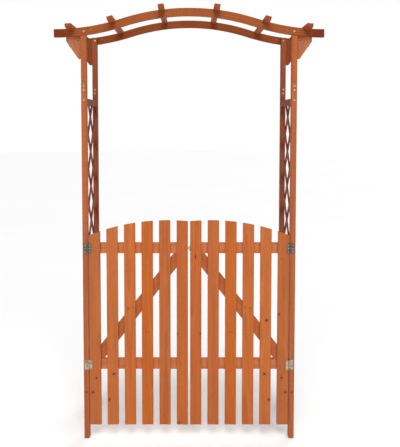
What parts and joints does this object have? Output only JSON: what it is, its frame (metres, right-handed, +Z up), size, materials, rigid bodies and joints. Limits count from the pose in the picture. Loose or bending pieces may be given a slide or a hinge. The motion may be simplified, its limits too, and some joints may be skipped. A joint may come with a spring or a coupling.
{
  "type": "garden arch with gate",
  "caption": "Wooden garden arch with curved top beams, rafters, diamond lattice sides and a picket gate of two leaves with a sliding bolt.",
  "frame": {"origin": "on the ground, in the middle of the footprint", "axes": "+Z up, +X to the right seen from the gate side, +Y from the gate to the back"},
  "size_m": [1.246, 0.6, 2.0379],
  "materials": {
    "post_wood": "stained softwood, matt, fine straight grain",
    "beam_wood": "stained softwood, matt, grain along the board",
    "lath_wood": "stained softwood strips, matt",
    "slat_wood": "stained softwood boards with small dark knots, matt",
    "rail_wood": "stained softwood, matt",
    "hinge_zinc": "yellow zinc plate, satin",
    "latch_steel": "dark coated steel, satin",
    "bolt_zinc": "yellow zinc plate, satin"
  },
  "bodies": {
    "frame": {"front_left_lower_post": "post_wood", "front_right_lower_post": "post_wood", "back_left_lower_post": "post_wood", "back_right_lower_post": "post_wood", "front_left_upper_post": "post_wood", "front_right_upper_post": "post_wood", "back_left_upper_post": "post_wood", "back_right_upper_post": "post_wood", "left_side_rails": "rail_wood", "right_side_rails": "rail_wood", "left_lattice": "lath_wood", "right_lattice": "lath_wood", "front_beam": "beam_wood", "back_beam": "beam_wood", "front_brackets": "post_wood", "back_brackets": "post_wood", "rafter_1": "beam_wood", "rafter_2": "beam_wood", "rafter_3": "beam_wood", "rafter_4": "beam_wood", "rafter_5": "beam_wood", "rafter_6": "beam_wood", "left_post_hinges": "hinge_zinc", "right_post_hinges": "hinge_zinc"},
    "left_leaf": {"left_slat_1": "slat_wood", "left_slat_2": "slat_wood", "left_slat_3": "slat_wood", "left_slat_4": "slat_wood", "left_slat_5": "slat_wood", "left_slat_6": "slat_wood", "left_leaf_rails": "rail_wood", "left_brace": "rail_wood", "left_leaf_hinges": "hinge_zinc", "latch_barrel": "latch_steel"},
    "right_leaf": {"right_slat_1": "slat_wood", "right_slat_2": "slat_wood", "right_slat_3": "slat_wood", "right_slat_4": "slat_wood", "right_slat_5": "slat_wood", "right_slat_6": "slat_wood", "right_leaf_rails": "rail_wood", "right_brace": "rail_wood", "right_leaf_hinges": "hinge_zinc", "latch_keeper": "latch_steel"},
    "latch_bolt": {"latch_bolt": "latch_steel"}
  },
  "joints": [
    {"name": "left_leaf_hinge", "type": "hinge", "parent": "frame", "child": "left_leaf", "pos_m": [-0.477, -0.209, 0.36], "axis": [0, 0, -1], "range_deg": [0, 165]},
    {"name": "right_leaf_hinge", "type": "hinge", "parent": "frame", "child": "right_leaf", "pos_m": [0.477, -0.209, 0.36], "axis": [0, 0, 1], "range_deg": [0, 165]},
    {"name": "latch_slide", "type": "slide", "parent": "left_leaf", "child": "latch_bolt", "axis": [1, 0, 0], "range_m": [0, 0.022]}
  ]
}
